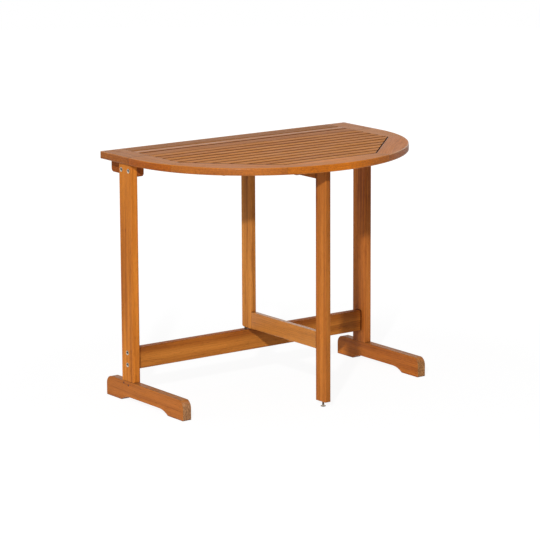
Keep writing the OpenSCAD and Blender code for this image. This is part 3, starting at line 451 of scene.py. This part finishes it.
def metal(name, colour, dull, rough, dirt=0.0):
    """Plated metal: fine drawing marks, small dull patches, and painted shade of this depth in
    hollows and on slopes that face down towards the curved side."""
    made, tree, surface = new_material(name)
    where = put(tree, "ShaderNodeTexCoord")
    place = where.outputs["Object"]
    marks = cloud(tree, place, MARKS, 3.0, 0.6)
    patch = spread(tree, cloud(tree, place, (160, 160, 160), 3.0, 0.6), 0.42, 0.66)
    skin = blend(tree, calc(tree, "MULTIPLY", patch, 0.6), colour, dull)
    # painted shade: darker and less metallic in hollows and on slopes facing down
    if dirt:
        open_sky = put(tree, "ShaderNodeAmbientOcclusion", {"Distance": dirt},
                       samples=8).outputs["AO"]
        slope = vector_calc(tree, "DOT_PRODUCT", where.outputs["Normal"], DIRTY_WAY)
        dirty = calc(tree, "MAXIMUM", spread(tree, open_sky, 0.94, 0.62),
                     spread(tree, slope, 0.08, 0.35, 0.0, 0.85))
        skin = blend(tree, dirty, skin, HOLLOW_DIRT)
        tree.links.new(spread(tree, dirty, 0, 1, 1.0, 0.15), surface.inputs["Metallic"])
    else:
        surface.inputs["Metallic"].default_value = 1.0
    tree.links.new(skin, surface.inputs["Base Color"])
    tree.links.new(calc(tree, "MULTIPLY_ADD", patch, 0.18, calc(
        tree, "MULTIPLY_ADD", marks, 0.14, rough - 0.07)), surface.inputs["Roughness"])
    bump = put(tree, "ShaderNodeBump", {"Strength": 0.3, "Distance": 0.00005, "Height": marks})
    tree.links.new(bump.outputs[0], surface.inputs["Normal"])
    return made


nickel = metal("nickel_plate", tone(226, 218, 202), tone(190, 180, 160), 0.26, dirt=0.0035)
zinc = metal("zinc_plate", tone(206, 204, 196), tone(140, 138, 130), 0.34)
dark_steel = metal("dark_steel", tone(108, 82, 56), tone(60, 44, 30), 0.50)
old_brass = metal("old_brass", tone(196, 172, 112), tone(122, 98, 62), 0.36)
for node in ("bearer_bolts", "stretcher_bolts", "barrel_nuts", "glide_pad"):
    dress(node, nickel)
for node in ("pivot_pin_lower", "pivot_pin_upper", "hinge_pins", "hinge_screws", "cleat_screws",
             "bearer_screws"):
    dress(node, zinc)
for node in ("pivot_spacer", "glide_screw"):
    dress(node, dark_steel)
for node in ("glide_insert", "hinge_plates_fixed", "hinge_plates_leaf"):
    dress(node, old_brass)


# Floor and backdrop
FLOOR_RADIUS = 9.0
FLOOR_LEVEL = -0.0004         # just under the feet
WHITE = (1, 1, 1, 1)
ROOM_LIGHT = 0.225            # light that falls on the table from all round
PAPER_GLOW = 1.08             # how brightly the white floor shows
BACKDROP_WAY = (0.59, 0.81, 0.0)  # level, from the table to the backdrop


def disc(name, radius, height, rings=12, spokes=96):
    """A flat round floor: ring i of n lies at the radius times i over n, and spoke k of m at
    the full turn times k over m, so a point is its ring's radius times the cosine and the sine
    of its spoke's angle."""
    angle = np.linspace(0, 2 * np.pi, spokes, endpoint=False)
    far = radius * np.arange(1, rings + 1) / rings
    grid = np.stack([np.outer(far, np.cos(angle)), np.outer(far, np.sin(angle)),
                     np.full((rings, spokes), height)], -1).reshape(-1, 3)
    points = np.vstack([[[0, 0, height]], grid])
    k = np.arange(spokes)
    after = (k + 1) % spokes
    first = np.stack([np.zeros_like(k), 1 + k, 1 + after], -1)
    inner = 1 + np.arange(rings - 1)[:, None] * spokes
    quads = np.stack([inner + k, inner + spokes + k, inner + spokes + after, inner + after], -1)
    mesh = bpy.data.meshes.new(name)
    mesh.from_pydata(points.tolist(), [], first.tolist() + quads.reshape(-1, 4).tolist())
    made = bpy.data.objects.new(name, mesh)
    scene.collection.objects.link(made)
    return made


def backdrop_share(tree):
    """1 on the white backdrop behind the table, less on the dimmer side in front of it."""
    place = put(tree, "ShaderNodeTexCoord").outputs["Object"]
    return spread(tree, vector_calc(tree, "DOT_PRODUCT", place, BACKDROP_WAY), -0.7, 0.5, 0.35, 1.0)


def looking(tree):
    """Whether a ray comes straight from the camera, and whether it does so or by a mirror or
    through glass."""
    path = put(tree, "ShaderNodeLightPath")
    straight = path.outputs["Is Camera Ray"]
    return straight, calc(tree, "MAXIMUM", straight, calc(
        tree, "MAXIMUM", path.outputs["Is Glossy Ray"], path.outputs["Is Transmission Ray"]))


floor = disc("floor", FLOOR_RADIUS, FLOOR_LEVEL)
floor_stuff = bpy.data.materials.new("pale_floor")
floor_stuff.use_nodes = True
tree = floor_stuff.node_tree
tree.nodes.clear()
straight, seen = looking(tree)
away = vector_calc(tree, "LENGTH", put(tree, "ShaderNodeTexCoord").outputs["Object"], (0, 0, 0))
whiteness = calc(tree, "MULTIPLY", spread(tree, away, 0.8, 2.2, 0.86, 1.0),
                 calc(tree, "MAXIMUM", straight, backdrop_share(tree)))
paint = put(tree, "ShaderNodeBsdfDiffuse", {"Color": (0.80, 0.80, 0.80, 1)})
paper = put(tree, "ShaderNodeEmission", {"Color": WHITE, "Strength": PAPER_GLOW})
both = put(tree, "ShaderNodeMixShader", {
    0: calc(tree, "MULTIPLY", seen, whiteness), 1: paint.outputs[0], 2: paper.outputs[0]})
tree.links.new(both.outputs[0], put(tree, "ShaderNodeOutputMaterial").inputs[0])
floor.data.materials.append(floor_stuff)

world = bpy.data.worlds.new("studio")
scene.world = world
world.use_nodes = True
tree = world.node_tree
tree.nodes.clear()
straight, seen = looking(tree)
room = put(tree, "ShaderNodeBackground", {"Color": WHITE, "Strength": ROOM_LIGHT})
backdrop = put(tree, "ShaderNodeBackground", {
    "Color": WHITE, "Strength": calc(tree, "MAXIMUM", straight, backdrop_share(tree))})
both = put(tree, "ShaderNodeMixShader", {0: seen, 1: room.outputs[0], 2: backdrop.outputs[0]})
tree.links.new(both.outputs[0], put(tree, "ShaderNodeOutputWorld").inputs[0])


# Lights
def softbox(name, place, aim, width, level):
    """A round soft light; a surface at the aim that faces it is lit as by a sky of this level."""
    data = bpy.data.lights.new(name, "AREA")
    data.shape = "DISK"
    data.size = width
    way = Vector(aim) - Vector(place)
    data.energy = level * math.pi ** 2 * way.length_squared
    made = bpy.data.objects.new(name, data)
    made.location = place
    made.rotation_mode = "QUATERNION"
    made.rotation_quaternion = way.to_track_quat("-Z", "Y")
    scene.collection.objects.link(made)


softbox("key_light", place=(-3.83, -3.90, 3.23), aim=(0, 0, 0.45), width=0.25, level=0.68)
softbox("overhead_light", place=(0.3, 0.3, 4.2), aim=(0, 0, 0.73), width=3.0, level=0.13)
softbox("left_light", place=(-5.2, 0.5, 1.6), aim=(0, 0, 0.40), width=4.0, level=0.08)

# Camera
# It stands in front and to the left, a little above the top, and looks down 11.8 degrees.
AZIMUTH, ELEVATION, ROLL = (math.radians(a) for a in (-36.021, 11.809, -0.268))
LOOKS_AT = (0.017292, 0.1, 0.348919)
DISTANCE = 8.432264
SENSOR_WIDTH = 36             # mm
PICTURE_WIDTH = 540           # pixels
FOCAL_LENGTH = 2823.211       # pixels

back = Vector((math.sin(AZIMUTH) * math.cos(ELEVATION), -math.cos(AZIMUTH) * math.cos(ELEVATION),
               math.sin(ELEVATION)))
right = (-back).cross(Vector(UP)).normalized()
top = right.cross(-back)
side_axis = right * math.cos(ROLL) + top * math.sin(ROLL)
top_axis = -right * math.sin(ROLL) + top * math.cos(ROLL)
camera_data = bpy.data.cameras.new("camera")
camera_data.sensor_width = SENSOR_WIDTH
camera_data.lens = FOCAL_LENGTH * SENSOR_WIDTH / PICTURE_WIDTH
camera_data.clip_start = 0.5
camera_data.clip_end = 60
camera = bpy.data.objects.new("camera", camera_data)
camera.rotation_mode = "QUATERNION"
camera.rotation_quaternion = Matrix((side_axis, top_axis, back)).transposed().to_quaternion()
camera.location = Vector(LOOKS_AT) + back * DISTANCE
scene.collection.objects.link(camera)
scene.camera = camera

bpy.context.view_layer.update()
